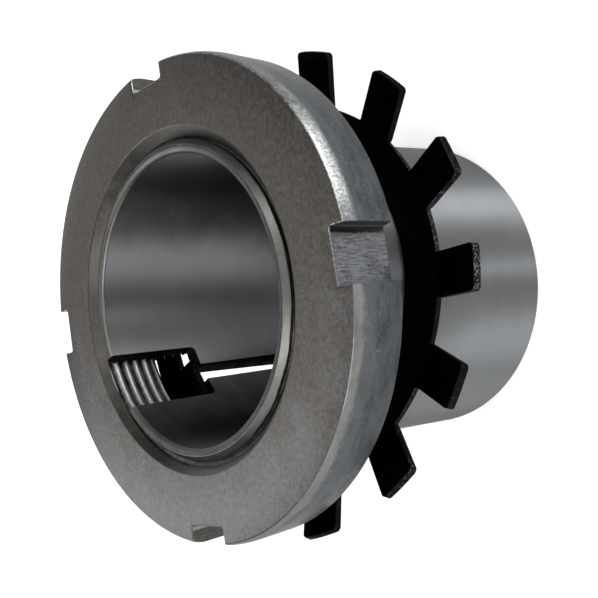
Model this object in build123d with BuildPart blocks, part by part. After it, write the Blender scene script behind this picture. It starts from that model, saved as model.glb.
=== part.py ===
from build123d import *
from math import asin, cos, degrees, hypot, radians, sin, tan
import os

# Bearing adapter sleeve for a 35 mm shaft and a 40 mm tapered bearing bore, with
# its lock nut and lock washer. Millimetres. The sleeve stands on its large end, the
# axis is Z and the origin is the centre of the large end face.

# Adapter sleeve
shaft_d = 35.0             # bore, the shaft's size
sleeve_wall = 2.5          # under the thread's crest, which makes the thread M40
thread_pitch = 1.5         # the thread itself is a plain cylinder here
sleeve_length = 46.0
thread_length = 14.0       # from the small end to the foot of the taper
taper_ratio = 12.0         # 1 mm of diameter in 12 mm of length
relief_width = 1.6         # grinding relief between thread and taper
lead_in_past_root = 0.6    # end chamfer, deeper than the thread
bore_chamfer_width = 0.9   # at the small end, across the axis
bore_chamfer_height = 0.5  # and along it
bore_edge_r = 0.5          # at the large end
large_end_chamfer = 0.6
window_width = 8.0         # key slot in the threaded end
window_length = 13.8
window_corner_r = 0.8
slit_width = 2.5           # lets the sleeve close on the shaft
slot_direction = 208.7     # degrees about Z

# Lock nut
nut_wall = 9.0             # thread to rim
nut_width = 9.0
nut_face_width = 5.0       # flat face towards the washer, from the thread outwards
nut_back_angle = 30.0      # cone between that face and the rim
nut_edge_height = 0.95     # outer edge's chamfer, along the axis
nut_edge_width = 0.4
nut_mouth = 0.7            # countersink past the thread at both faces
thread_clearance = 0.05
notch_width = 6.0
notch_depth = 2.5
notch_count = 4
notch_corner_r = 0.3
nut_stand_out = 0.3        # outer nut face past the sleeve's small end

# Lock washer
washer_t = 1.0
washer_play = 0.55         # bore over the thread, room for the lean
washer_rim_width = 5.0     # thread to the roots of the tabs
tab_reach = 6.0            # root to tip, across the axis
tab_count = 15
tab_width = 5.2
tab_bend = 25.0            # degrees towards the nut
tab_corner_r = 0.5
tongue_width = 6.0
tongue_bore_gap = 0.1      # tongue's end stays this far outside the bore
tongue_side_gap = 0.12     # tongue against one wall of the key slot
washer_lean = 9.15         # the loose washer leans on the sleeve
lean_direction = 225.0     # its high side, degrees about Z
washer_drop = 15.4         # outer nut face to the washer's face, on the axis
washer_shift = 0.2         # away from the high side

# Derived
bore_r = shaft_d / 2
thread_r = bore_r + sleeve_wall
thread_depth = 0.6134 * thread_pitch
thread_lead_in = thread_depth + lead_in_past_root
taper_foot_z = sleeve_length - thread_length
large_end_r = thread_r + taper_foot_z / taper_ratio / 2
relief_r = thread_r - thread_depth
nut_r = thread_r + nut_wall
nut_face_r = thread_r + nut_face_width
nut_bore_r = thread_r + thread_clearance
nut_mouth_r = thread_r + nut_mouth
nut_mouth_depth = nut_mouth_r - nut_bore_r
nut_cone_height = (nut_r - nut_face_r) * tan(radians(nut_back_angle))
nut_top_z = sleeve_length + nut_stand_out
nut_bottom_z = nut_top_z - nut_width
washer_bore_r = thread_r + washer_play
washer_rim_r = thread_r + washer_rim_width
washer_tip_r = washer_rim_r + tab_reach
lean = radians(washer_lean)
bend = radians(tab_bend)
tab_rise = tab_reach * tan(bend)
tongue_r = (bore_r + tongue_bore_gap + washer_shift) / cos(lean)
tongue_reach = washer_bore_r - tongue_r + washer_t
tongue_play = (window_width - tongue_width) / 2 - tongue_side_gap
tongue_direction = slot_direction + degrees(asin(tongue_play / thread_r))
high_x = cos(radians(lean_direction))
high_y = sin(radians(lean_direction))
washer_plane = Plane(
    origin=(-washer_shift * high_x, -washer_shift * high_y, nut_top_z - washer_drop),
    x_dir=(cos(lean), 0, sin(lean) * high_x),
    z_dir=(-sin(lean) * high_x, -sin(lean) * high_y, cos(lean)),
)

# Adapter sleeve: turned ring with the taper, the relief and the plain thread
# cylinder, then the key slot and the slit along one side
with BuildPart() as sleeve:
    with BuildSketch(Plane.XZ):
        with BuildLine():
            Polyline(
                (bore_r, 0),
                (large_end_r - large_end_chamfer, 0),
                (large_end_r - large_end_chamfer / taper_ratio / 2, large_end_chamfer),
                (thread_r, taper_foot_z),
                (relief_r, taper_foot_z),
                (relief_r, taper_foot_z + relief_width - thread_depth),
                (thread_r, taper_foot_z + relief_width),
                (thread_r, sleeve_length - thread_lead_in),
                (thread_r - thread_lead_in, sleeve_length),
                (bore_r + bore_chamfer_width, sleeve_length),
                (bore_r, sleeve_length - bore_chamfer_height),
                close=True,
            )
        make_face()
    revolve(axis=Axis.Z)
    bore_edges = sleeve.edges().filter_by(GeomType.CIRCLE).group_by(SortBy.RADIUS)[0]
    fillet(bore_edges.sort_by(Axis.Z)[0], radius=bore_edge_r)
    slot_side = Plane.XZ.rotated((0, 0, slot_direction - 90))
    with BuildSketch(slot_side):
        with Locations((0, sleeve_length)):
            window = Rectangle(window_width, 2 * window_length)
        fillet(window.vertices(), radius=window_corner_r)
        with Locations((0, sleeve_length / 2)):
            Rectangle(slit_width, 2 * sleeve_length)
    extrude(amount=-2 * large_end_r, mode=Mode.SUBTRACT)
sleeve.part.label = "sleeve"

# Lock nut: turned ring with its chamfers, then four spanner notches
with BuildPart() as lock_nut:
    with BuildSketch(Plane.XZ):
        with BuildLine():
            Polyline(
                (nut_mouth_r, nut_bottom_z),
                (nut_face_r, nut_bottom_z),
                (nut_r, nut_bottom_z + nut_cone_height),
                (nut_r, nut_top_z - nut_edge_height),
                (nut_r - nut_edge_width, nut_top_z),
                (nut_mouth_r, nut_top_z),
                (nut_bore_r, nut_top_z - nut_mouth_depth),
                (nut_bore_r, nut_bottom_z + nut_mouth_depth),
                close=True,
            )
        make_face()
    revolve(axis=Axis.Z)
    with BuildSketch(Plane.XY.offset(nut_bottom_z)):
        with PolarLocations(nut_r, notch_count):
            notch = Rectangle(2 * notch_depth, notch_width)
    extrude(amount=nut_width, mode=Mode.SUBTRACT)
    floor_corners = lock_nut.edges().filter_by(Axis.Z).filter_by(
        lambda edge: hypot(edge.center().X, edge.center().Y) < nut_r - notch_depth / 2
    )
    fillet(floor_corners, radius=notch_corner_r)
lock_nut.part.label = "lock_nut"

# One tab of the washer, bent up from its root, standing along +X
with BuildPart() as tab:
    with BuildSketch(Plane.XZ):
        with BuildLine():
            Polyline(
                (washer_rim_r - washer_t, 0),
                (washer_rim_r, 0),
                (washer_tip_r, tab_rise),
                (washer_tip_r + washer_t * sin(bend), tab_rise - washer_t * cos(bend)),
                (washer_rim_r + washer_t * tan(bend / 2), -washer_t),
                (washer_rim_r - washer_t, -washer_t),
                close=True,
            )
        make_face()
    extrude(amount=tab_width / 2, both=True)
    tip_corners = tab.faces().sort_by(Axis.X)[-1].edges().filter_by(Axis.Y, reverse=True)
    fillet(tip_corners, radius=tab_corner_r)

# Lock washer: flat ring with its tongue in the key slot, and the tabs round it
with BuildPart(washer_plane) as lock_washer:
    with BuildSketch(washer_plane):
        Circle(washer_rim_r)
        Circle(washer_bore_r, mode=Mode.SUBTRACT)
        with PolarLocations(tongue_r + tongue_reach / 2, 1, start_angle=tongue_direction):
            Rectangle(tongue_reach, tongue_width)
    extrude(amount=-washer_t)
    with PolarLocations(0, tab_count, start_angle=tongue_direction):
        add(tab.part)
lock_washer.part.label = "lock_washer"

os.makedirs("parts", exist_ok=True)
export_step(sleeve.part, "parts/sleeve.step")
export_step(lock_nut.part, "parts/lock_nut.step")
export_step(lock_washer.part, "parts/lock_washer.step")
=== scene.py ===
from math import asin, atan2, ceil, cos, pi, radians, sin, sqrt, tan, tau

import bmesh
import bpy
from mathutils import Matrix, Vector


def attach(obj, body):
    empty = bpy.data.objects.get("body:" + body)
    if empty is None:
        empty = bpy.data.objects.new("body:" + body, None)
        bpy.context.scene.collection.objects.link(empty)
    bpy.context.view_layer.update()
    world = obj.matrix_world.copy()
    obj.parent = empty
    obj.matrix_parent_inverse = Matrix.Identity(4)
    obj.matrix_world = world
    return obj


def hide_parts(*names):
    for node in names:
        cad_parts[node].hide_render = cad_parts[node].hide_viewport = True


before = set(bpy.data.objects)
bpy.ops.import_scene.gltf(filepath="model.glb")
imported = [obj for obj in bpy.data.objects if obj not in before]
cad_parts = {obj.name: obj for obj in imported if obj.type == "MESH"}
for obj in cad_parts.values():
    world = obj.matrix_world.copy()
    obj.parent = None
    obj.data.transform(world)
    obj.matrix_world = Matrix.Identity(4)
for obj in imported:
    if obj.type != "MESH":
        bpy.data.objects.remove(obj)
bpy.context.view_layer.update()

# Sizes in millimetres, in the CAD's frame; meshes are scaled to metres at the end
MM = 0.001

# Thread of sleeve and nut
PITCH = 1.5
THREAD_R = 20.0
THREAD_DEPTH = 0.6134 * PITCH
THREAD_START = 0.61        # height of the sleeve's thread crest at angle 0, modulo the pitch
THREAD_PLAY = 0.03         # each thread stands back this far from the nominal profile

# Adapter sleeve
SLEEVE_LENGTH = 46.0
BORE_R = 17.5
BORE_EDGE_R = 0.5          # rounding at the large end
BORE_BEND_WIDTH = 0.9      # rounding at the small end, across the axis
BORE_BEND_HEIGHT = 0.5     # and along it
TAPER_RATIO = 12.0         # 1 mm of diameter in 12 mm of length
TAPER_FOOT = 32.0
TAPER_END_R = THREAD_R + TAPER_FOOT / TAPER_RATIO / 2
TAPER_CHAMFER = 0.6
RELIEF_WIDTH = 1.6         # grinding relief between thread and taper
RELIEF_TOP = TAPER_FOOT + RELIEF_WIDTH - THREAD_DEPTH
ROOT_R = THREAD_R - THREAD_DEPTH
LEAD_IN = 0.95             # below the small end, where the thread starts to rise
LEAD_IN_PAST_ROOT = 0.6    # end chamfer, deeper than the thread
SLEEVE_FACE_R = ROOT_R - LEAD_IN_PAST_ROOT
WINDOW_WIDTH = 8.0         # key slot in the threaded end
WINDOW_LENGTH = 13.8
WINDOW_FLOOR = SLEEVE_LENGTH - WINDOW_LENGTH
WINDOW_CORNER_R = 0.8
SLIT_WIDTH = 2.5
SLOT_DIRECTION = radians(208.7)

# Lock nut
NUT_WIDTH = 9.0
NUT_STAND_OUT = 0.3        # past the sleeve's small end
NUT_TOP = SLEEVE_LENGTH + NUT_STAND_OUT
NUT_BOTTOM = NUT_TOP - NUT_WIDTH
NUT_R = 29.0
NUT_BACK_R = 25.0          # flat face towards the washer, and a cone from there to the rim
NUT_BACK_SLOPE = tan(radians(30))
NUT_MINOR_R = 19.19
NUT_CREST_ROUNDING = 0.405
NUT_CREST_R = 19.705       # where the centres of the rounded crests lie
NUT_MOUTH_R = 20.6
MOUTH_SLOPE = cos(pi / 4)  # upward part of the normals of the upper mouth
MOUTH_EDGE = 0.06          # half of the broken edge between face and mouth
NUT_EDGE_HEIGHT = 0.95     # chamfer of the outer edge
NUT_EDGE_WIDTH = 0.4
NUT_EDGE_BEND_R = 4.5      # soft bend between rim and chamfer
NUT_ROUNDING = 0.11
NOTCH_WIDTH = 6.0
NOTCH_FLOOR = 26.5
NOTCH_CORNER_R = 0.3
NOTCHES = 4

# Lock washer, which leans on the sleeve
WASHER_T = 1.0
WASHER_BORE_R = 20.55
WASHER_RIM_R = 25.0
WASHER_TIP_R = 31.0
WASHER_ROUNDING = 0.1
WASHER_LEAN = radians(9.15)
LEAN_DIRECTION = radians(225)
WASHER_DROP = 15.4         # from the nut's outer face down to the washer's, on the axis
WASHER_SHIFT = 0.2         # away from its high side
TABS = 15
TAB_WIDTH = 5.2
TAB_BEND = radians(25)
TAB_BEND_R = 0.6
TAB_CORNER_R = 0.5
TONGUE_WIDTH = 6.0
TONGUE_END_GAP = 0.1       # from the tongue's end to the bore
TONGUE_SIDE_GAP = 0.12     # from the tongue to one wall of the key slot
TONGUE_R = (BORE_R + TONGUE_END_GAP + WASHER_SHIFT) / cos(WASHER_LEAN)
TONGUE_OFFSET = (WINDOW_WIDTH - TONGUE_WIDTH) / 2 - TONGUE_SIDE_GAP
TONGUE_DIRECTION = SLOT_DIRECTION + asin(TONGUE_OFFSET / THREAD_R)

# Fineness of the meshes
COLUMNS = 256              # round a whole turn of the sleeve
THREAD_STEPS = 20          # rows in one pitch
BEND_STEPS = 6             # rows round a bore edge
RIM_STEPS = 56             # columns of the nut's rim between two notches
NOTCH_INNER_ANGLE = radians(7.2)
GAP_STEPS = 8              # columns of the washer's rim between two tabs
TAB_COLUMNS = (-1, -0.97, -0.9, -0.81, -0.4, 0, 0.4, 0.81, 0.9, 0.97, 1)
TAB_BEND_STEPS = 5
TAB_STEPS = 6
WELD_DISTANCE = 0.002
SHARP_ANGLE = radians(32)
ON_SURFACE = 0.02          # a face whose centre is this near to a surface lies on it

# Numbers of the materials on each piece
TAPER, BORE, SLEEVE_END, CUT, SLEEVE_THREAD = range(5)
FACE, RIM, NOTCH, EDGE, NUT_THREAD, MOUTH = range(6)
SHEET, PUNCHED = range(2)
# Dark colour painted on the bore's sides as shade.
PAINTED_SHADE_COLOUR = (0.03, 0.031, 0.032)
RIM_SHEEN = 0.65           # share of the sheen at a shallow angle that the rim keeps
BLACK_SHEEN = 0.15         # and that blackened edges keep

# Floor, world and lamps, in metres and degrees
FLOOR_R = 0.7
FLOOR_GAP = 0.00005
FLOOR_COLOUR = (0.8, 0.8, 0.8)
FLOOR_WHITE = 0.33         # what the lamps leave short of white
WORLD_LIGHT = 0.05
HORIZON = (0.02, 0.22)     # heights between which the world goes from white to dim
LAMP_AIM = 0.03
LAMP_GROUND_GAP = 0.005
LAMPS = (                  # name, azimuth, elevation, distance, size, glow
    ("key", 45, 0, 0.5, (0.175, 0.4), 8.2),
    ("key_edge", 30, 0, 0.5, (0.087, 0.4), 1.7),
    ("key_side", 62, 0, 0.5, (0.12, 0.4), 0.6),
    ("line", 1, 0, 0.5, (0.035, 0.4), 11.0),
    ("fill", 312, 0, 0.5, (0.3, 0.4), 1.4),
    ("side", 275, 0, 0.5, (0.3, 0.4), 1.7),
    ("far_side", 97, 0, 0.5, (0.35, 0.4), 0.2),
    ("rear", 152, 0, 0.5, (0.35, 0.4), 0.6),
    ("rear_side", 203, 0, 0.5, (0.25, 0.4), 0.8),
    ("window", 313, 50, 0.6, (0.3, 0.35), 5.6),
    ("rear_high", 175, 50, 0.6, (0.35, 0.35), 0.85),
    ("rear_side_high", 200, 38, 0.6, (0.3, 0.35), 2.1),
    ("side_high", 270, 50, 0.6, (0.35, 0.35), 0.68),
    ("far_side_high", 90, 50, 0.6, (0.35, 0.35), 0.6),
    ("front_high", 10, 50, 0.6, (0.07, 0.35), 1.9),
    ("key_high", 40, 50, 0.6, (0.07, 0.35), 1.9),
    ("steep", 45, 68, 0.6, (0.2, 0.2), 5.5),
    ("top", 0, 90, 0.6, (0.4, 0.4), 0.55),
)


def polar(radius, angle, height):
    return (radius * cos(angle), radius * sin(angle), height)


def add_grid(bm, rows):
    """Quads between rows of points. Points that meet are merged later."""
    made = [[bm.verts.new(point) for point in row] for row in rows]
    for low, high in zip(made, made[1:]):
        for column in range(len(low) - 1):
            bm.faces.new((low[column], low[column + 1], high[column + 1], high[column]))


def weld(bm):
    """Merges points that meet and turns the faces outwards."""
    bmesh.ops.remove_doubles(bm, verts=bm.verts, dist=WELD_DISTANCE)
    bmesh.ops.recalc_face_normals(bm, faces=bm.faces)


def add_object(name, bm, materials):
    mesh = bpy.data.meshes.new(name)
    bm.to_mesh(mesh)
    bm.free()
    piece = bpy.data.objects.new(name, mesh)
    bpy.context.scene.collection.objects.link(piece)
    for material in materials:
        mesh.materials.append(material)
    return piece


def apply_modifiers(piece):
    """Replaces the piece's mesh with what its modifiers make of it."""
    depsgraph = bpy.context.evaluated_depsgraph_get()
    mesh = bpy.data.meshes.new_from_object(piece.evaluated_get(depsgraph))
    piece.modifiers.clear()
    piece.data = mesh


def round_edges(piece, width, least_angle):
    """Rounds the piece's edges that are sharper than an angle."""
    rounding = piece.modifiers.new("rounding", "BEVEL")
    rounding.width = width
    rounding.segments = 2
    rounding.limit_method = "ANGLE"
    rounding.angle_limit = least_angle
    rounding.use_clamp_overlap = False
    apply_modifiers(piece)


def finish_piece(piece, node, body):
    """Scales the piece to metres, shades it and stands it in for its CAD node."""
    piece.data.transform(Matrix.Scale(MM, 4))
    piece.data.shade_smooth()
    piece.data.set_sharp_from_angle(angle=SHARP_ANGLE)
    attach(piece, body)
    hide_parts(node)


def thread_radius(angle, height, crest_r, root_r, crest_flat, root_flat, crest_height):
    """Radius of a 60 degree thread whose crest passes crest_height at angle 0."""
    turns = (height - crest_height) / PITCH - angle / tau
    from_crest = abs(turns - round(turns)) * PITCH
    flank = (PITCH - crest_flat - root_flat) / 2
    share = min(max((from_crest - crest_flat / 2) / flank, 0), 1)
    return crest_r + (root_r - crest_r) * share


def helical_rows(low, high, radius_at, angles):
    """Rows that climb with the thread between two heights, cut off level at both."""
    count = ceil((high - low + PITCH) / PITCH * THREAD_STEPS) + 1
    rows = []
    for i in range(count):
        start = low - PITCH + i * PITCH / THREAD_STEPS
        row = []
        for angle in angles:
            height = min(max(start + PITCH * (angle - angles[0]) / tau, low), high)
            row.append(polar(radius_at(angle, height), angle, height))
        rows.append(row)
    return rows


def lathe_rows(profile):
    """A row round the axis for each point of a profile: (radius, height)."""
    return [
        [polar(radius, tau * column / COLUMNS, height) for column in range(COLUMNS + 1)]
        for radius, height in profile
    ]


def arc(centre, radius, start, end, steps):
    """Points of an arc in a lathe profile, angles in radians from the outward direction."""
    return [
        (
            centre[0] + radius * cos(start + (end - start) * k / steps),
            centre[1] + radius * sin(start + (end - start) * k / steps),
        )
        for k in range(steps + 1)
    ]


def sleeve_thread(angle, height):
    """Radius of the sleeve's thread, cut back by the relief, the end chamfer and the lead-in."""
    profile = thread_radius(
        angle, height, THREAD_R - THREAD_PLAY, ROOT_R, PITCH / 8, PITCH / 6, THREAD_START
    )
    depth = SLEEVE_LENGTH - height
    start = ROOT_R + max(depth - LEAD_IN, 0)
    return min(profile, ROOT_R + height - RELIEF_TOP, SLEEVE_FACE_R + depth, start)


def sleeve_material(face):
    """Ground taper, bore, turned end, cut slot or thread, by where a face of the sleeve lies."""
    centre = face.center
    radius = Vector(centre.xy).length
    outward = Vector(centre.xy).normalized().dot(Vector(face.normal.xy))
    from_end = min(centre.z, SLEEVE_LENGTH - centre.z)
    if abs(face.normal.z) > 0.9 and centre.z in (0, SLEEVE_LENGTH):
        return SLEEVE_END
    if from_end < BORE_EDGE_R and radius < BORE_R + BORE_EDGE_R + 0.1:
        return SLEEVE_END
    if radius < BORE_R + ON_SURFACE and outward < -0.9:
        return BORE
    across = abs(centre.x * sin(SLOT_DIRECTION) - centre.y * cos(SLOT_DIRECTION))
    if across < WINDOW_WIDTH / 2 + 0.001 and centre.x < 0 and abs(outward) < 0.3:
        return CUT
    if abs(radius - SLEEVE_FACE_R - SLEEVE_LENGTH + centre.z) < ON_SURFACE:
        return SLEEVE_END
    return SLEEVE_THREAD if centre.z > TAPER_FOOT else TAPER


def slot_cutter():
    """A prism with the outline of the key slot and the slit below it."""
    half = WINDOW_WIDTH / 2
    past_end = 5
    centre = (half - WINDOW_CORNER_R, WINDOW_FLOOR + WINDOW_CORNER_R)
    side = [(SLIT_WIDTH / 2, -past_end), (SLIT_WIDTH / 2, WINDOW_FLOOR)]
    side += arc(centre, WINDOW_CORNER_R, -pi / 2, 0, 8)
    side += [(half, SLEEVE_LENGTH + past_end)]
    outline = side + [(-across, height) for across, height in reversed(side)]
    bm = bmesh.new()
    ends = []
    for distance in (BORE_R - past_end, TAPER_END_R + past_end):
        ends.append([bm.verts.new((distance, across, height)) for across, height in outline])
    bm.faces.new(ends[0])
    bm.faces.new(ends[1])
    for k in range(len(outline)):
        after = (k + 1) % len(outline)
        bm.faces.new((ends[0][k], ends[0][after], ends[1][after], ends[1][k]))
    bmesh.ops.rotate(bm, verts=bm.verts, matrix=Matrix.Rotation(SLOT_DIRECTION, 3, "Z"))
    weld(bm)
    return add_object("slot_cutter", bm, [])


def make_sleeve(materials):
    """A turned ring with its thread, cut through by the key slot and the slit."""
    top = SLEEVE_LENGTH
    profile = [(SLEEVE_FACE_R, top)]
    for k in range(BEND_STEPS + 1):
        bend = pi / 2 * k / BEND_STEPS
        across = BORE_R + BORE_BEND_WIDTH * (1 - sin(bend))
        profile.append((across, top - BORE_BEND_HEIGHT * (1 - cos(bend))))
    inner = (BORE_R + BORE_EDGE_R, BORE_EDGE_R)
    profile += arc(inner, BORE_EDGE_R, pi, pi * 1.5, BEND_STEPS)
    profile += [
        (TAPER_END_R - TAPER_CHAMFER, 0),
        (TAPER_END_R - TAPER_CHAMFER / TAPER_RATIO / 2, TAPER_CHAMFER),
        (THREAD_R, TAPER_FOOT),
        (ROOT_R, TAPER_FOOT),
        (ROOT_R, RELIEF_TOP),
    ]
    bm = bmesh.new()
    add_grid(bm, lathe_rows(profile))
    angles = [tau * column / COLUMNS for column in range(COLUMNS + 1)]
    add_grid(bm, helical_rows(RELIEF_TOP, top, sleeve_thread, angles))
    weld(bm)
    piece = add_object("adapter_sleeve", bm, materials)
    cutter = slot_cutter()
    cut = piece.modifiers.new("slot", "BOOLEAN")
    cut.operation = "DIFFERENCE"
    cut.solver = "EXACT"
    cut.object = cutter
    apply_modifiers(piece)
    bpy.data.objects.remove(cutter)
    for face in piece.data.polygons:
        face.material_index = sleeve_material(face)
    finish_piece(piece, "sleeve", "sleeve")


def nut_thread(angle, height):
    """Radius of the nut's thread, whose crests are worn round."""
    crest_height = THREAD_START + PITCH / 2
    profile = thread_radius(
        angle,
        height,
        NUT_MINOR_R + THREAD_PLAY,
        THREAD_R + THREAD_PLAY,
        PITCH / 4,
        PITCH / 8,
        crest_height,
    )
    turns = (height - crest_height) / PITCH - angle / tau
    from_crest = abs(turns - round(turns)) * PITCH
    if from_crest < NUT_CREST_ROUNDING * cos(pi / 6):
        sunk = NUT_CREST_R - sqrt(NUT_CREST_ROUNDING ** 2 - from_crest ** 2)
        profile = max(profile, sunk)
    return max(profile, NUT_MOUTH_R - (NUT_TOP - height), NUT_MOUTH_R - (height - NUT_BOTTOM))


def notch_side():
    """Half of a notch's floor, from its middle to the end of its corner: (outwards, across)."""
    half = NOTCH_WIDTH / 2
    centre = (NOTCH_FLOOR + NOTCH_CORNER_R, half - NOTCH_CORNER_R)
    floor = [(NOTCH_FLOOR, half * k / 6) for k in range(6)]
    return floor + arc(centre, NOTCH_CORNER_R, pi, pi / 2, 4)


def nut_columns():
    """The columns of the nut's shell: notch, kind, where it stands and its angle further in."""
    half = NOTCH_WIDTH / 2
    rim_start = asin(half / NUT_R)
    side = notch_side()
    floor = [(x, -y) for x, y in reversed(side[1:])] + side
    columns = []
    for notch in range(NOTCHES):
        turn = notch * pi / 2
        for x, y in floor:
            columns.append((turn, "floor", (x, y), turn + atan2(y, NOTCH_FLOOR)))
        for k in range(RIM_STEPS + 1):
            kind = "corner" if k in (0, RIM_STEPS) else "rim"
            share = k / RIM_STEPS
            outer = rim_start + (pi / 2 - 2 * rim_start) * share
            inner = NOTCH_INNER_ANGLE + (pi / 2 - 2 * NOTCH_INNER_ANGLE) * share
            columns.append((turn, kind, outer, turn + inner))
    columns.append(columns[0][:3] + (columns[0][3] + tau,))
    return columns


def nut_point(column, radius, height):
    """Where a column stands on the turned outline of that radius."""
    turn, kind, place, _ = column
    half = NOTCH_WIDTH / 2
    if kind == "floor":
        local = (min(place[0], sqrt(radius ** 2 - place[1] ** 2)), place[1])
    elif kind == "corner":
        reach = sqrt(radius ** 2 - half ** 2)
        local = (reach, half) if place < pi / 4 else (half, reach)
    else:
        local = (radius * cos(place), radius * sin(place))
    return Matrix.Rotation(turn, 3, "Z") @ Vector((*local, height))


def nut_back_point(column):
    """Where a column leaves the cone on the nut's back."""
    radius = Vector(column[2]).length if column[1] == "floor" else NUT_R
    return nut_point(column, radius, NUT_BOTTOM + (radius - NUT_BACK_R) * NUT_BACK_SLOPE)


def nut_material(face):
    """Face, rim, notch, broken edge or thread, by where a face of the nut lies."""
    centre = face.calc_center_median()
    radius = Vector(centre.xy).length
    outward = Vector(centre.xy).normalized().dot(face.normal.xy)
    on_mouth = NUT_MOUTH_R - min(NUT_TOP - centre.z, centre.z - NUT_BOTTOM)
    if abs(radius - on_mouth) < ON_SURFACE and abs(face.normal.z - MOUTH_SLOPE) < 0.1:
        return MOUTH
    if radius < NUT_MOUTH_R - MOUTH_EDGE:
        return NUT_THREAD
    if radius < NUT_MOUTH_R + MOUTH_EDGE:
        return MOUTH
    if abs(face.normal.z) > 0.98:
        return FACE
    if abs(face.normal.z) < 0.05 and radius < NUT_R - 0.05:
        return NOTCH
    if abs(face.normal.z) < 0.9 and outward > 0.2:
        return RIM
    return EDGE


def nut_edge_profile():
    """The nut's outer edge in profile: up the rim, a soft bend and the chamfer to the face."""
    slope = atan2(NUT_EDGE_WIDTH, NUT_EDGE_HEIGHT)
    start = NUT_TOP - NUT_EDGE_HEIGHT - NUT_EDGE_BEND_R * tan(slope / 2)
    bend = arc((NUT_R - NUT_EDGE_BEND_R, start), NUT_EDGE_BEND_R, 0, slope, 8)
    return bend + [(NUT_R - NUT_EDGE_WIDTH, NUT_TOP)]


def make_nut(materials):
    """A shell of rows from mouth to mouth, outside round the notches, and the thread inside."""
    columns = nut_columns()
    angles = [column[3] for column in columns]
    rows = [
        [polar(NUT_MOUTH_R - MOUTH_EDGE, angle, NUT_BOTTOM + MOUTH_EDGE) for angle in angles],
        [polar(NUT_MOUTH_R + MOUTH_EDGE, angle, NUT_BOTTOM) for angle in angles],
        [polar(NUT_BACK_R, angle, NUT_BOTTOM) for angle in angles],
        [nut_back_point(column) for column in columns],
        *[[nut_point(column, *point) for column in columns] for point in nut_edge_profile()],
        [polar(NUT_BACK_R, angle, NUT_TOP) for angle in angles],
        [polar(NUT_MOUTH_R + MOUTH_EDGE, angle, NUT_TOP) for angle in angles],
        [polar(NUT_MOUTH_R - MOUTH_EDGE, angle, NUT_TOP - MOUTH_EDGE) for angle in angles],
    ]
    bm = bmesh.new()
    add_grid(bm, rows)
    weld(bm)
    shell = add_object("shell", bm, [])
    round_edges(shell, NUT_ROUNDING, least_angle=radians(20))
    bm = bmesh.new()
    bm.from_mesh(shell.data)
    bpy.data.objects.remove(shell)
    add_grid(bm, helical_rows(NUT_BOTTOM + MOUTH_EDGE, NUT_TOP - MOUTH_EDGE, nut_thread, angles))
    weld(bm)
    for face in bm.faces:
        face.material_index = nut_material(face)
    piece = add_object("lock_nut_detailed", bm, materials)
    finish_piece(piece, "lock_nut", "lock_nut")


def tip_setback(across, half):
    """How far a rounded corner holds back the tip of a tab or tongue of that half width."""
    past = max(abs(across) - (half - TAB_CORNER_R), 0)
    return TAB_CORNER_R - sqrt(TAB_CORNER_R ** 2 - past ** 2)


def tab_path(distance):
    """Outward place and height of the tab's upper side, by the distance from its root."""
    root = sqrt(WASHER_RIM_R ** 2 - (TAB_WIDTH / 2) ** 2)
    bent = min(distance / TAB_BEND_R, TAB_BEND)
    straight = max(distance - TAB_BEND_R * TAB_BEND, 0)
    return (
        root + TAB_BEND_R * sin(bent) + straight * cos(TAB_BEND),
        TAB_BEND_R * (1 - cos(bent)) + straight * sin(TAB_BEND),
    )


def turned(point, angle):
    """The point turned about the axis."""
    return Matrix.Rotation(angle, 3, "Z") @ Vector(point)


def washer_rings():
    """Two rows of points, the washer's bore and its rim, with the tongue's sides between them."""
    half = TAB_WIDTH / 2
    tongue_half = TONGUE_WIDTH / 2
    root = sqrt(WASHER_RIM_R ** 2 - half ** 2)
    gap_start = asin(half / WASHER_RIM_R)
    tongue_edge = asin(tongue_half / WASHER_BORE_R)
    sector = tau / TABS
    bore, rim = [], []
    for tab in range(TABS):
        middle = TONGUE_DIRECTION + tab * sector
        for share in TAB_COLUMNS:
            rim.append(turned((root, half * share, 0), middle))
            width = tongue_half if tab == 0 else half * WASHER_BORE_R / WASHER_RIM_R
            reach = sqrt(WASHER_BORE_R ** 2 - (width * share) ** 2)
            bore.append(turned((reach, width * share, 0), middle))
        for k in range(1, GAP_STEPS):
            share = k / GAP_STEPS
            outer = gap_start + (sector - 2 * gap_start) * share
            start = tongue_edge if tab == 0 else gap_start
            end = tongue_edge if tab == TABS - 1 else gap_start
            inner = start + (sector - start - end) * share
            rim.append(polar(WASHER_RIM_R, middle + outer, 0))
            bore.append(polar(WASHER_BORE_R, middle + inner, 0))
    return [bore + bore[:1], rim + rim[:1]]


def tab_rows(middle):
    """A tab's upper side, row by row from its root round the bend to its rounded tip."""
    half = TAB_WIDTH / 2
    bend_length = TAB_BEND_R * TAB_BEND
    rows = []
    for step in range(TAB_BEND_STEPS + TAB_STEPS + 1):
        row = []
        for share in TAB_COLUMNS:
            across = half * share
            reach = sqrt(WASHER_TIP_R ** 2 - across ** 2) - tab_path(bend_length)[0]
            straight = reach / cos(TAB_BEND) - tip_setback(across, half)
            if step <= TAB_BEND_STEPS:
                distance = bend_length * step / TAB_BEND_STEPS
            else:
                distance = bend_length + straight * (step - TAB_BEND_STEPS) / TAB_STEPS
            outward, height = tab_path(distance)
            row.append(turned((outward, across, height), middle))
        rows.append(row)
    return rows


def tongue_rows():
    """The tongue's upper side, from the washer's bore inwards to its rounded tip."""
    half = TONGUE_WIDTH / 2
    rows = []
    for share_in in (0, 0.5, 1):
        row = []
        for share in TAB_COLUMNS:
            across = half * share
            root = sqrt(WASHER_BORE_R ** 2 - across ** 2)
            tip = TONGUE_R + tip_setback(across, half)
            row.append(turned((root + (tip - root) * share_in, across, 0), TONGUE_DIRECTION))
        rows.append(row)
    return rows


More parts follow.
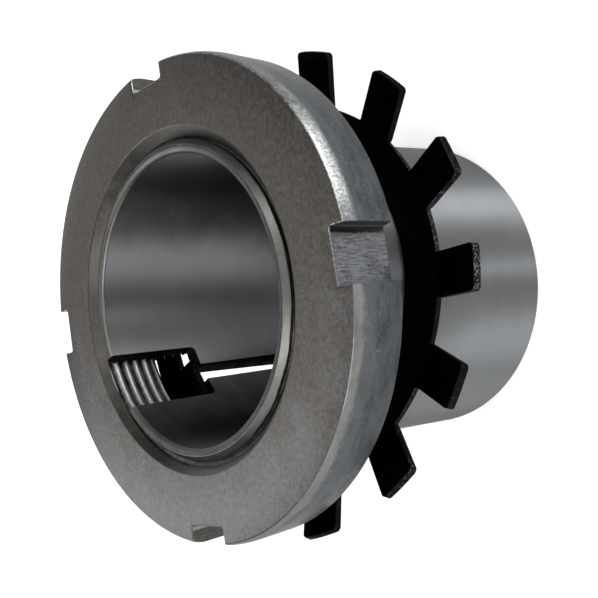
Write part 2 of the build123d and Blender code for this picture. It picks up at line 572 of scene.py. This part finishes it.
def make_washer(materials):
    """The upper side of ring, tongue and tabs, thickened to a sheet and leaned on the sleeve."""
    bm = bmesh.new()
    add_grid(bm, washer_rings())
    add_grid(bm, tongue_rows())
    for tab in range(TABS):
        add_grid(bm, tab_rows(TONGUE_DIRECTION + tab * tau / TABS))
    weld(bm)
    if sum(face.normal.z for face in bm.faces) < 0:
        bmesh.ops.reverse_faces(bm, faces=bm.faces)
    piece = add_object("lock_washer_detailed", bm, materials)
    plate = piece.modifiers.new("plate", "SOLIDIFY")
    plate.thickness = WASHER_T
    plate.offset = -1
    plate.use_even_offset = True
    apply_modifiers(piece)
    round_edges(piece, WASHER_ROUNDING, least_angle=radians(40))
    for face in piece.data.polygons:
        face.material_index = PUNCHED if abs(face.normal.z) < 0.6 else SHEET
    high = Vector((cos(LEAN_DIRECTION), sin(LEAN_DIRECTION), 0))
    up = Vector((0, 0, cos(WASHER_LEAN))) - high * sin(WASHER_LEAN)
    across = Vector((cos(WASHER_LEAN), 0, sin(WASHER_LEAN) * high.x)).normalized()
    turn = Matrix((across, up.cross(across), up)).transposed().to_4x4()
    centre = Vector(polar(-WASHER_SHIFT, LEAN_DIRECTION, NUT_TOP - WASHER_DROP))
    piece.data.transform(Matrix.Translation(centre) @ turn)
    finish_piece(piece, "lock_washer", "lock_washer")


def add_node(tree, kind, inputs=(), **settings):
    """A shader node, with its inputs set to values or linked to other nodes' outputs."""
    node = tree.nodes.new(kind)
    for key, value in settings.items():
        setattr(node, key, value)
    for key, value in dict(inputs).items():
        if isinstance(value, bpy.types.NodeSocket):
            tree.links.new(value, node.inputs[key])
        else:
            node.inputs[key].default_value = value
    return node


def new_material(name):
    material = bpy.data.materials.new(name)
    material.use_nodes = True
    tree = material.node_tree
    tree.nodes.clear()
    shader = add_node(tree, "ShaderNodeBsdfPrincipled")
    output = add_node(tree, "ShaderNodeOutputMaterial")
    tree.links.new(shader.outputs["BSDF"], output.inputs["Surface"])
    return material, tree, shader


def millimetres(tree):
    """The place on the part in millimetres, in its own frame."""
    place = add_node(tree, "ShaderNodeTexCoord").outputs["Object"]
    inputs = {0: place, "Scale": 1 / MM}
    return add_node(tree, "ShaderNodeVectorMath", inputs, operation="SCALE").outputs[0]


def axis_part(tree, axis):
    parts = add_node(tree, "ShaderNodeSeparateXYZ", {0: millimetres(tree)})
    return parts.outputs[axis]


def noise(tree, per_mm, detail=4.0, rough=0.6):
    """Noise with so many features in a millimetre along x, y and z."""
    inputs = {0: millimetres(tree), 1: per_mm}
    scaled = add_node(tree, "ShaderNodeVectorMath", inputs, operation="MULTIPLY")
    made = add_node(
        tree,
        "ShaderNodeTexNoise",
        {"Vector": scaled.outputs[0], "Scale": 1.0, "Detail": detail, "Roughness": rough},
    )
    return made.outputs["Fac"]


def spread(tree, value, low, high, to_low=0.0, to_high=1.0):
    """Maps a value from one range to another, held at the ends."""
    made = add_node(
        tree,
        "ShaderNodeMapRange",
        {"Value": value, "From Min": low, "From Max": high, "To Min": to_low, "To Max": to_high},
    )
    return made.outputs["Result"]


def combine(tree, operation, *values):
    made = add_node(tree, "ShaderNodeMath", dict(enumerate(values)), operation=operation)
    return made.outputs[0]


def add(tree, first, second):
    return combine(tree, "ADD", first, second)


def multiply(tree, first, second):
    return combine(tree, "MULTIPLY", first, second)


def average(tree, *values):
    total = values[0]
    for value in values[1:]:
        total = add(tree, total, value)
    return combine(tree, "DIVIDE", total, len(values))


def blend_colours(tree, factor, first, second):
    made = add_node(tree, "ShaderNodeMix", {"Factor": factor}, data_type="RGBA")
    for key, value in ((6, first), (7, second)):
        if isinstance(value, bpy.types.NodeSocket):
            tree.links.new(value, made.inputs[key])
        else:
            made.inputs[key].default_value = (*value, 1)
    return made.outputs[2]


def tones(tree, value, low, high, dark, light):
    """A colour that goes from dark to light as a value rises from low to high."""
    return blend_colours(tree, spread(tree, value, low, high), dark, light)


def set_metal(tree, shader, colour, roughness, relief, depth, metallic=1.0):
    """Joins colour, roughness and a relief so many millimetres deep to the shader."""
    tree.links.new(colour, shader.inputs["Base Color"])
    tree.links.new(roughness, shader.inputs["Roughness"])
    shader.inputs["Metallic"].default_value = metallic
    bump = add_node(tree, "ShaderNodeBump", {"Height": relief, "Distance": depth * MM})
    tree.links.new(bump.outputs["Normal"], shader.inputs["Normal"])


def dull_edges(material, share):
    """Leaves only a share of the bright sheen of a surface that is seen at a shallow angle."""
    shader = material.node_tree.nodes["Principled BSDF"]
    shader.inputs["Specular Tint"].default_value = (share, share, share, 1)


def plain_steel(name, dark, light, per_mm, patches_per_mm, roughness, depth):
    """Machined steel with a fine grain and larger patches."""
    material, tree, shader = new_material(name)
    fine = noise(tree, (per_mm,) * 3, 5.0, 0.7)
    tone = average(tree, fine, noise(tree, (patches_per_mm,) * 3, 3.0, 0.5))
    colour = tones(tree, tone, 0.37, 0.63, dark, light)
    set_metal(tree, shader, colour, spread(tree, fine, 0.3, 0.7, *roughness), fine, depth)
    return material


def ground_steel(name, dark, light, roughness, painted_shade=0.0):
    """Steel ground round the axis, which spreads what it mirrors along the axis."""
    material, tree, shader = new_material(name)
    lines = noise(tree, (0.12, 0.12, 9), 4.0, 0.7)
    smudges = noise(tree, (0.15, 0.15, 0.25), 4.0, 0.6)
    colour = tones(tree, average(tree, lines, smudges), 0.37, 0.63, dark, light)
    # Painted shade: with a share above 0, the colour darkens towards the sides of +Y and -Y.
    side = add(tree, axis_part(tree, "Y"), spread(tree, smudges, 0.3, 0.7, -1.5, 1.5))
    painted_shade_mask = combine(
        tree,
        "MAXIMUM",
        spread(tree, side, 8.5, 14, 0, painted_shade),
        spread(tree, side, -10, -16, 0, painted_shade),
    )
    colour = blend_colours(tree, painted_shade_mask, colour, PAINTED_SHADE_COLOUR)
    set_metal(tree, shader, colour, spread(tree, smudges, 0.3, 0.7, *roughness), lines, 0.0005)
    shader.inputs["Anisotropic"].default_value = 1.0
    shader.inputs["Anisotropic Rotation"].default_value = 0.25
    around = add_node(tree, "ShaderNodeTangent", direction_type="RADIAL", axis="Z")
    tree.links.new(around.outputs["Tangent"], shader.inputs["Tangent"])
    return material


def thread_steel(name, root_r, crest_r, root, crest):
    """A thread with dark roots and light crests: oil and painted shade in the roots, clean steel
    and a painted highlight on the crests.
    """
    material, tree, shader = new_material(name)
    inputs = {0: millimetres(tree), 1: (1, 1, 0)}
    flat = add_node(tree, "ShaderNodeVectorMath", inputs, operation="MULTIPLY").outputs[0]
    radius = add_node(tree, "ShaderNodeVectorMath", {0: flat}, operation="LENGTH")
    lines = noise(tree, (0.3, 0.3, 8), 4.0, 0.7)
    dirt = noise(tree, (1, 1, 1), 4.0, 0.6)
    # Painted shade towards the roots and a painted highlight towards the crests, by the radius.
    rise = spread(tree, radius.outputs["Value"], root_r, crest_r)
    uneven = spread(tree, average(tree, lines, dirt), 0.35, 0.65, -0.25, 0.25)
    colour = tones(tree, add(tree, rise, uneven), 0, 1, root, crest)
    set_metal(tree, shader, colour, spread(tree, dirt, 0.3, 0.7, 0.42, 0.56), lines, 0.002)
    return material


def nut_face_steel():
    """The nut's flat faces: dull, with a crossed grain, brownish stains and lighter grit."""
    material, tree, shader = new_material("nut_face")
    upright = noise(tree, (6, 0.9, 6), 4.0, 0.7)
    level = noise(tree, (0.9, 6, 6), 4.0, 0.7)
    mottle = noise(tree, (2.4, 1.4, 2.4), 5.0, 0.7)
    grain = average(tree, upright, level, mottle, mottle)
    clean = tones(tree, grain, 0.38, 0.62, (0.078, 0.078, 0.077), (0.168, 0.17, 0.17))
    darker_brown = tones(tree, grain, 0.38, 0.62, (0.067, 0.061, 0.054), (0.146, 0.134, 0.121))
    stains = average(
        tree, noise(tree, (0.3, 0.12, 0.3), 4.0, 0.65), noise(tree, (0.05, 0.05, 0.05))
    )
    # Besides the random stains, the face gets darker and browner towards +Y.
    upward = spread(tree, axis_part(tree, "Y"), -22, 12, -0.12, 0.12)
    darker_brown_share = spread(tree, add(tree, stains, upward), 0.4, 0.54)
    colour = blend_colours(tree, darker_brown_share, clean, darker_brown)
    grit = noise(tree, (5, 4, 5), 2.0, 0.5)
    specks = multiply(
        tree,
        spread(tree, grit, 0.6, 0.72, 0, 0.5),
        spread(tree, noise(tree, (0.15, 0.15, 0.15)), 0.45, 0.6),
    )
    colour = blend_colours(tree, specks, colour, (0.24, 0.24, 0.235))
    relief = average(tree, upright, level, grit)
    set_metal(tree, shader, colour, spread(tree, mottle, 0.3, 0.7, 0.38, 0.5), relief, 0.006)
    return material


def rim_colour(tree, tone):
    """Dark turned steel with light dots, and a lighter wavy band below the outer edge."""
    rim = tones(tree, tone, 0.4, 0.6, (0.038, 0.041, 0.044), (0.084, 0.091, 0.096))
    dots = multiply(
        tree,
        spread(tree, noise(tree, (2.5, 2.5, 2.5), 2.0), 0.58, 0.7, 0, 0.7),
        spread(tree, noise(tree, (0.12, 0.12, 0.12)), 0.45, 0.6),
    )
    rim = blend_colours(tree, dots, rim, (0.15, 0.158, 0.162))
    wave = multiply(tree, noise(tree, (0.12, 0.12, 0.3)), 3.0)
    height = add(tree, axis_part(tree, "Z"), wave)
    band = spread(tree, height, NUT_TOP - 1.6, NUT_TOP - 1.2, 0, 0.5)
    return blend_colours(tree, band, rim, (0.094, 0.102, 0.108))


def wear_and_highlight_edge(tree, rim, grit, blotches):
    """Wears the outer edge light in places, and paints a highlight on it beside the notch on +X.
    """
    side = axis_part(tree, "Y")
    # Painted highlight: the edge is painted light on +Y, from about 2 to 20 mm, where X is past 15
    # mm.
    painted_highlight = multiply(tree, spread(tree, side, 2, 6), spread(tree, side, 12, 20, 1.0, 0.0))
    painted_highlight = multiply(tree, painted_highlight, spread(tree, axis_part(tree, "X"), 15, 25))
    worn = tones(tree, grit, 0.35, 0.65, (0.1, 0.106, 0.11), (0.2, 0.21, 0.215))
    painted_highlight_colour = tones(tree, grit, 0.4, 0.6, (0.22, 0.226, 0.226), (0.5, 0.51, 0.51))
    # From here worn holds the worn colour with the painted highlight blended in.
    worn = blend_colours(tree, painted_highlight, worn, painted_highlight_colour)
    places = average(tree, noise(tree, (0.1, 0.1, 0.1)), noise(tree, (0.9, 0.9, 0.9), 3.0))
    places = add(tree, places, spread(tree, side, -12, 4, -0.06, 0.04))
    # The mask holds wear in places, less of it towards -Y, and the painted highlight.
    wear_and_highlight = combine(tree, "MAXIMUM", spread(tree, places, 0.42, 0.56, 0.1, 1.0), painted_highlight)
    height = add(tree, axis_part(tree, "Z"), multiply(tree, blotches, 0.6))
    edge = multiply(tree, spread(tree, height, NUT_TOP - 1.4, NUT_TOP - 0.7), wear_and_highlight)
    return blend_colours(tree, edge, rim, worn)


def dull_chamfer(tree, rim, tone, blotches):
    """Leaves the outer edge's chamfer plain and pale on the side of -Y."""
    height = add(tree, axis_part(tree, "Z"), blotches)
    chamfer = spread(tree, height, NUT_TOP - 0.65, NUT_TOP - 0.3)
    chamfer = multiply(tree, chamfer, spread(tree, axis_part(tree, "Y"), 3, -2))
    pale = tones(tree, tone, 0.4, 0.6, (0.118, 0.118, 0.115), (0.175, 0.175, 0.17))
    return blend_colours(tree, chamfer, rim, pale)


def nut_rim_steel():
    """The nut's turned rim and its outer edge."""
    material, tree, shader = new_material("nut_rim")
    turned_lines = noise(tree, (0.3, 0.3, 5), 4.0, 0.7)
    blotches = noise(tree, (0.35, 0.35, 0.9), 5.0, 0.65)
    grit = noise(tree, (4, 4, 4), 3.0, 0.6)
    tone = average(tree, turned_lines, blotches, blotches, grit)
    colour = wear_and_highlight_edge(tree, rim_colour(tree, tone), grit, blotches)
    colour = dull_chamfer(tree, colour, tone, blotches)
    roughness = spread(tree, grit, 0.3, 0.7, 0.3, 0.46)
    set_metal(tree, shader, colour, roughness, average(tree, grit, turned_lines), 0.009)
    dull_edges(material, RIM_SHEEN)
    return material


def nut_mouth_steel():
    """The turned countersinks of the nut, darker and browner on the side of -X."""
    material, tree, shader = new_material("nut_mouth")
    fine = noise(tree, (4, 4, 4), 5.0, 0.7)
    tone = average(tree, fine, noise(tree, (0.4, 0.4, 0.4), 3.0, 0.5))
    light = tones(tree, tone, 0.37, 0.63, (0.08, 0.077, 0.072), (0.12, 0.116, 0.109))
    darker_brown = tones(tree, tone, 0.37, 0.63, (0.042, 0.039, 0.035), (0.068, 0.064, 0.058))
    side = add(tree, axis_part(tree, "X"), spread(tree, tone, 0.3, 0.7, -4, 4))
    colour = blend_colours(tree, spread(tree, side, -17, -2), darker_brown, light)
    set_metal(tree, shader, colour, spread(tree, fine, 0.3, 0.7, 0.35, 0.42), fine, 0.004)
    return material


def nut_notch_steel():
    """The milled notches: streaks along the axis, painted shade in the corner beside one wall and
    a painted highlight line on the walls.
    """
    material, tree, shader = new_material("nut_notch")
    half = NOTCH_WIDTH / 2
    streaks = noise(tree, (6, 6, 0.5), 4.0, 0.75)
    marks = noise(tree, (3, 3, 1.5), 3.0, 0.6)
    tone = average(tree, streaks, streaks, marks)
    floor = tones(tree, tone, 0.38, 0.62, (0.034, 0.035, 0.04), (0.185, 0.192, 0.205))
    wall = tones(tree, tone, 0.4, 0.6, (0.046, 0.044, 0.041), (0.086, 0.083, 0.078))
    along_x = combine(tree, "ABSOLUTE", axis_part(tree, "X"))
    along_y = combine(tree, "ABSOLUTE", axis_part(tree, "Y"))
    across = combine(tree, "MINIMUM", along_x, along_y)
    outward = combine(tree, "MAXIMUM", along_x, along_y)
    above_floor = combine(tree, "SUBTRACT", outward, NOTCH_FLOOR)
    one_side = multiply(tree, axis_part(tree, "X"), axis_part(tree, "Y"))
    one_side = combine(tree, "DIVIDE", one_side, NOTCH_FLOOR)
    ragged = add(tree, one_side, spread(tree, marks, 0.3, 0.7, -0.2, 0.2))
    # Painted highlight: a light line on the walls just above the floor's level.
    line = multiply(
        tree,
        spread(tree, above_floor, 0.2, 0.32),
        spread(tree, above_floor, 0.62, 0.72, 1.0, 0.0),
    )
    wall = blend_colours(tree, line, wall, (0.26, 0.25, 0.235))
    # Painted shade: the floor goes near black in its corner beside one wall.
    corner = spread(tree, ragged, half - 0.8, half - 0.5)
    colour = blend_colours(tree, corner, floor, (0.006, 0.006, 0.006))
    colour = blend_colours(tree, spread(tree, across, half - 0.1, half - 0.03), colour, wall)
    set_metal(tree, shader, colour, spread(tree, marks, 0.3, 0.7, 0.35, 0.5), streaks, 0.012)
    return material


def nut_edge_steel():
    """Thin broken edges of the nut, bare in the nicks, with a painted highlight that makes them
    bright on the side of +Y.
    """
    material, tree, shader = new_material("nut_edge")
    nicks = noise(tree, (3, 3, 3), 4.0, 0.7)
    # Painted highlight: the bare colour goes from dark on -Y to light on +Y.
    bare = tones(tree, axis_part(tree, "Y"), -3, 3, (0.16, 0.162, 0.162), (0.55, 0.56, 0.56))
    colour = tones(tree, nicks, 0.4, 0.62, (0.08, 0.08, 0.08), bare)
    set_metal(tree, shader, colour, spread(tree, nicks, 0.3, 0.7, 0.3, 0.5), nicks, 0.012)
    return material


def washer_cut_steel():
    """The washer's punched edges: black, with bare specks where the punch tore the steel."""
    material, tree, shader = new_material("washer_cut")
    tears = noise(tree, (5, 5, 5), 3.0, 0.6)
    bare = spread(tree, noise(tree, (0.09, 0.09, 0.09), 2.0), 0.42, 0.6, -0.04, 0.1)
    covered = spread(tree, axis_part(tree, "Y"), 19, 24, 0, 0.2)
    shown = combine(tree, "SUBTRACT", add(tree, tears, bare), covered)
    colour = tones(tree, shown, 0.62, 0.7, (0.005, 0.0055, 0.006), (0.13, 0.135, 0.14))
    set_metal(tree, shader, colour, spread(tree, tears, 0.3, 0.7, 0.3, 0.5), tears, 0.03, 0.9)
    dull_edges(material, BLACK_SHEEN)
    return material


def sleeve_materials():
    """The sleeve's materials, in the order of their numbers."""
    # The cut walls of the slot and the slit are painted near black as shade.
    cut = plain_steel(
        "sleeve_cut", (0.014, 0.014, 0.014), (0.045, 0.045, 0.044), 2, 0.5, (0.4, 0.5), 0.002
    )
    dull_edges(cut, BLACK_SHEEN)
    return [
        ground_steel("sleeve_taper", (0.154, 0.16, 0.165), (0.188, 0.195, 0.202), (0.45, 0.5)),
        # The bore gets painted shade on its sides at +Y and -Y.
        ground_steel(
            "sleeve_bore", (0.176, 0.182, 0.186), (0.213, 0.22, 0.226), (0.55, 0.6), painted_shade=0.65
        ),
        plain_steel(
            "sleeve_end", (0.1, 0.098, 0.092), (0.15, 0.147, 0.14), 3, 0.4, (0.35, 0.42), 0.002
        ),
        cut,
        thread_steel("sleeve_thread", ROOT_R, THREAD_R, (0.06, 0.06, 0.06), (0.35, 0.35, 0.35)),
    ]


def nut_materials():
    """The nut's materials, in the order of their numbers."""
    return [
        nut_face_steel(),
        nut_rim_steel(),
        nut_notch_steel(),
        nut_edge_steel(),
        thread_steel("nut_thread", THREAD_R, NUT_MINOR_R, (0.02, 0.02, 0.02), (0.4, 0.4, 0.4)),
        nut_mouth_steel(),
    ]


def washer_materials():
    """The washer's materials, in the order of their numbers."""
    black = plain_steel(
        "washer_black",
        (0.001, 0.0012, 0.0013),
        (0.008, 0.0092, 0.0096),
        3,
        0.12,
        (0.35, 0.45),
        0.003,
    )
    dull_edges(black, BLACK_SHEEN)
    return [black, washer_cut_steel()]


def place_camera():
    eye = Vector((79.587, -9.925, 102.583)) * MM
    target = Vector((10.545, -1.973, 36.3)) * MM
    upward = Vector((0.1618, 0.9848, -0.0504))
    forward = (target - eye).normalized()
    right = forward.cross(upward).normalized()
    above = right.cross(forward)
    turn = Matrix((right, above, -forward)).transposed().to_4x4()
    data = bpy.data.cameras.new("camera")
    data.lens = 49.14
    data.sensor_width = 36.0
    data.clip_start = 0.005
    data.clip_end = 20.0
    camera = bpy.data.objects.new("camera", data)
    camera.matrix_world = Matrix.Translation(eye) @ turn
    bpy.context.scene.collection.objects.link(camera)
    bpy.context.scene.camera = camera


def add_lamp(name, azimuth, elevation, distance, size, glow):
    """A soft lamp aimed at the part, with its size in metres and its glow as radiance."""
    data = bpy.data.lights.new(name, "AREA")
    data.shape = "RECTANGLE"
    data.size, data.size_y = size
    data.energy = pi * size[0] * size[1] * glow
    lamp = bpy.data.objects.new(name, data)
    target = Vector((0, 0, LAMP_AIM))
    if elevation == 0:
        target.z = size[1] / 2 + LAMP_GROUND_GAP
    away = Vector(polar(cos(radians(elevation)), radians(azimuth), sin(radians(elevation))))
    lamp.location = target + away * distance
    lamp.rotation_mode = "QUATERNION"
    lamp.rotation_quaternion = (-away).to_track_quat("-Z", "Y")
    lamp.visible_camera = False
    bpy.context.scene.collection.objects.link(lamp)


def seen_rays(tree):
    """1 for rays from the camera, a reflection or through glass, 0 for the light they scatter."""
    rays = add_node(tree, "ShaderNodeLightPath").outputs
    direct = combine(tree, "MAXIMUM", rays["Is Camera Ray"], rays["Is Glossy Ray"])
    return combine(tree, "MAXIMUM", direct, rays["Is Transmission Ray"])


def make_floor():
    bm = bmesh.new()
    bmesh.ops.create_circle(bm, cap_ends=True, segments=64, radius=FLOOR_R)
    bmesh.ops.translate(bm, verts=bm.verts, vec=(0, 0, -FLOOR_GAP))
    material = bpy.data.materials.new("pale_floor")
    material.use_nodes = True
    tree = material.node_tree
    tree.nodes.clear()
    pale = add_node(tree, "ShaderNodeBsdfDiffuse", {"Color": (*FLOOR_COLOUR, 1)}).outputs[0]
    white = add_node(tree, "ShaderNodeEmission", {"Strength": FLOOR_WHITE}).outputs[0]
    both = add_node(tree, "ShaderNodeAddShader", {0: pale, 1: white}).outputs[0]
    mix = add_node(tree, "ShaderNodeMixShader", {0: seen_rays(tree), 1: pale, 2: both})
    output = add_node(tree, "ShaderNodeOutputMaterial")
    tree.links.new(mix.outputs[0], output.inputs["Surface"])
    floor = add_object("floor", bm, [material])


def make_world():
    """Dim light from all round, and white just above the horizon, where the floor ends."""
    world = bpy.data.worlds.new("studio")
    bpy.context.scene.world = world
    world.use_nodes = True
    tree = world.node_tree
    tree.nodes.clear()
    place = add_node(tree, "ShaderNodeTexCoord")
    parts = add_node(tree, "ShaderNodeSeparateXYZ", {0: place.outputs["Generated"]})
    strength = spread(tree, parts.outputs["Z"], *HORIZON, 1.0, WORLD_LIGHT)
    light = add_node(tree, "ShaderNodeBackground", {"Color": (1, 1, 1, 1), "Strength": strength})
    output = add_node(tree, "ShaderNodeOutputWorld")
    tree.links.new(light.outputs[0], output.inputs["Surface"])


bpy.context.scene.view_settings.view_transform = "Standard"
place_camera()
make_world()
make_floor()
for lamp in LAMPS:
    add_lamp(*lamp)
make_sleeve(sleeve_materials())
make_nut(nut_materials())
make_washer(washer_materials())
